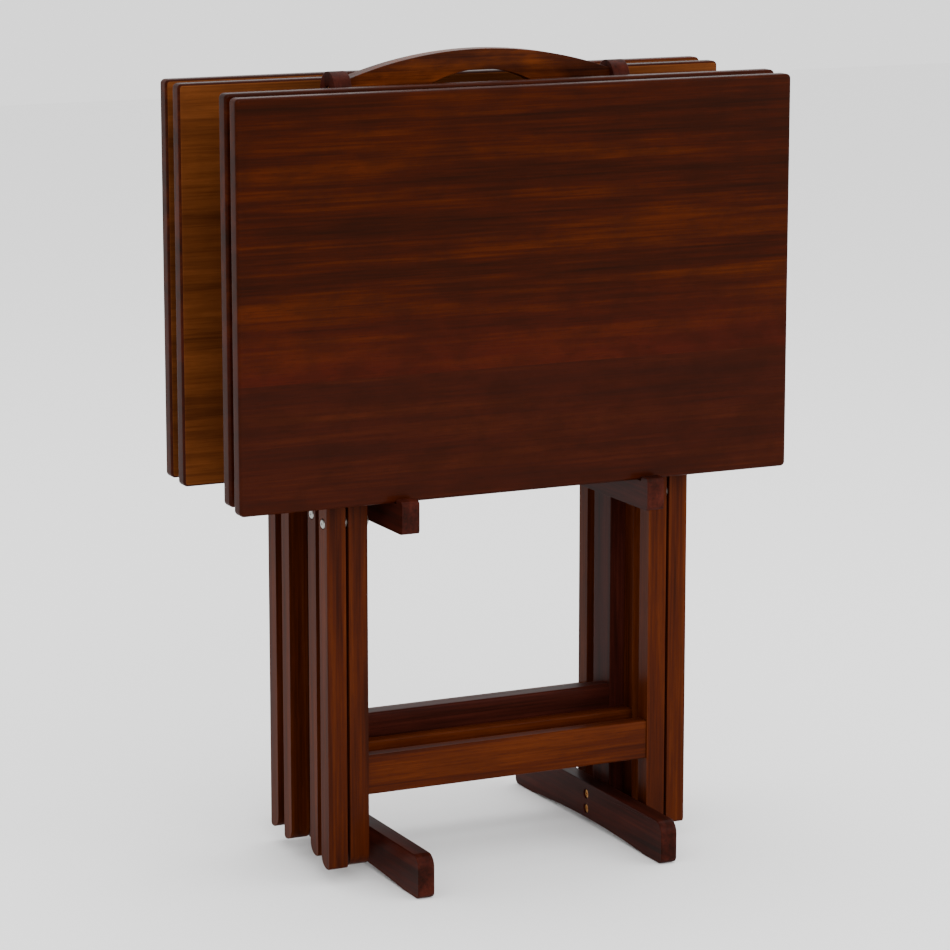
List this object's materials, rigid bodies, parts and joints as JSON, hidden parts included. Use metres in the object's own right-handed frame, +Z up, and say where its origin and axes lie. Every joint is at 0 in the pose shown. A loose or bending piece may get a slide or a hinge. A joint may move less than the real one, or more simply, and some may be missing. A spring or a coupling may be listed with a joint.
{
  "type": "tray table set on a carrying stand",
  "caption": "Folding wooden tray tables hanging on a carrying stand with two posts, cross feet, lipped arms and an arched handle.",
  "frame": {"origin": "on the floor under the middle of the stand", "axes": "+X to the right along the trays, +Y to the back, +Z up"},
  "size_m": [0.575, 0.315, 0.768],
  "materials": {
    "tray_lacquer": "gloss",
    "under_wood": "satin",
    "leg_wood": "satin",
    "stand_wood": "satin",
    "screw_brass": "satin",
    "bolt_steel": "satin"
  },
  "bodies": {
    "stand": {"post_left": "stand_wood", "post_right": "stand_wood", "foot_left": "stand_wood", "foot_right": "stand_wood", "arm_left": "stand_wood", "arm_right": "stand_wood", "arm_lips": "stand_wood", "carry_handle": "stand_wood", "stand_stretcher": "stand_wood", "foot_screws": "screw_brass", "arm_screws": "screw_brass", "handle_screws": "screw_brass"},
    "table_1_frame": {"table_1_outer_leg_left": "leg_wood", "table_1_outer_leg_right": "leg_wood", "table_1_crossing_bolts": "bolt_steel", "table_1_washers": "bolt_steel"},
    "table_1_inner": {"table_1_inner_leg_left": "leg_wood", "table_1_inner_leg_right": "leg_wood", "table_1_stretcher": "leg_wood", "table_1_top_rod": "leg_wood"},
    "table_1_top": {"table_1_tabletop": "tray_lacquer", "table_1_cleats": "under_wood", "table_1_catches": "under_wood", "table_1_pivot_bolts": "bolt_steel"},
    "table_4_frame": {"table_4_outer_leg_left": "leg_wood", "table_4_outer_leg_right": "leg_wood", "table_4_crossing_bolts": "bolt_steel", "table_4_washers": "bolt_steel"},
    "table_4_inner": {"table_4_inner_leg_left": "leg_wood", "table_4_inner_leg_right": "leg_wood", "table_4_stretcher": "leg_wood", "table_4_top_rod": "leg_wood"},
    "table_4_top": {"table_4_tabletop": "tray_lacquer", "table_4_cleats": "under_wood", "table_4_catches": "under_wood", "table_4_pivot_bolts": "bolt_steel"},
    "table_2_folded": {"table_2_outer_leg_left": "leg_wood", "table_2_outer_leg_right": "leg_wood", "table_2_crossing_bolts": "bolt_steel", "table_2_washers": "bolt_steel", "table_2_inner_leg_left": "leg_wood", "table_2_inner_leg_right": "leg_wood", "table_2_stretcher": "leg_wood", "table_2_top_rod": "leg_wood", "table_2_tabletop": "tray_lacquer", "table_2_cleats": "under_wood", "table_2_catches": "under_wood", "table_2_pivot_bolts": "bolt_steel"},
    "table_3_folded": {"table_3_outer_leg_left": "leg_wood", "table_3_outer_leg_right": "leg_wood", "table_3_crossing_bolts": "bolt_steel", "table_3_washers": "bolt_steel", "table_3_inner_leg_left": "leg_wood", "table_3_inner_leg_right": "leg_wood", "table_3_stretcher": "leg_wood", "table_3_top_rod": "leg_wood", "table_3_tabletop": "tray_lacquer", "table_3_cleats": "under_wood", "table_3_catches": "under_wood", "table_3_pivot_bolts": "bolt_steel"}
  },
  "joints": [
    {"name": "table_1_take_off", "type": "slide", "parent": "stand", "child": "table_1_frame", "axis": [0, -0.48, 0.8773], "range_m": [0, 0.315]},
    {"name": "table_1_top_fold", "type": "hinge", "parent": "table_1_frame", "child": "table_1_top", "pos_m": [-0.005, -0.0744, 0.681], "axis": [-1, 0, 0], "range_deg": [0, 90]},
    {"name": "table_1_leg_fold", "type": "hinge", "parent": "table_1_frame", "child": "table_1_inner", "pos_m": [-0.005, -0.0744, 0.3445], "axis": [1, 0, 0], "range_deg": [0, 1.2]},
    {"name": "table_4_take_off", "type": "slide", "parent": "stand", "child": "table_4_frame", "axis": [0, 0.48, 0.8773], "range_m": [0, 0.315]},
    {"name": "table_4_top_fold", "type": "hinge", "parent": "table_4_frame", "child": "table_4_top", "pos_m": [0.005, 0.0725, 0.681], "axis": [1, 0, 0], "range_deg": [0, 90]},
    {"name": "table_4_leg_fold", "type": "hinge", "parent": "table_4_frame", "child": "table_4_inner", "pos_m": [0.005, 0.0725, 0.3445], "axis": [-1, 0, 0], "range_deg": [0, 1.2]},
    {"name": "table_2_lift", "type": "slide", "parent": "stand", "child": "table_2_folded", "axis": [0, 0, 1], "range_m": [0, 0.2]},
    {"name": "table_3_lift", "type": "slide", "parent": "stand", "child": "table_3_folded", "axis": [0, 0, 1], "range_m": [0, 0.2]}
  ],
  "couplings": [
    {"joint": "table_1_top_fold", "follows": "table_1_take_off", "rad_per_m": 4.98},
    {"joint": "table_4_top_fold", "follows": "table_4_take_off", "rad_per_m": 4.98}
  ]
}
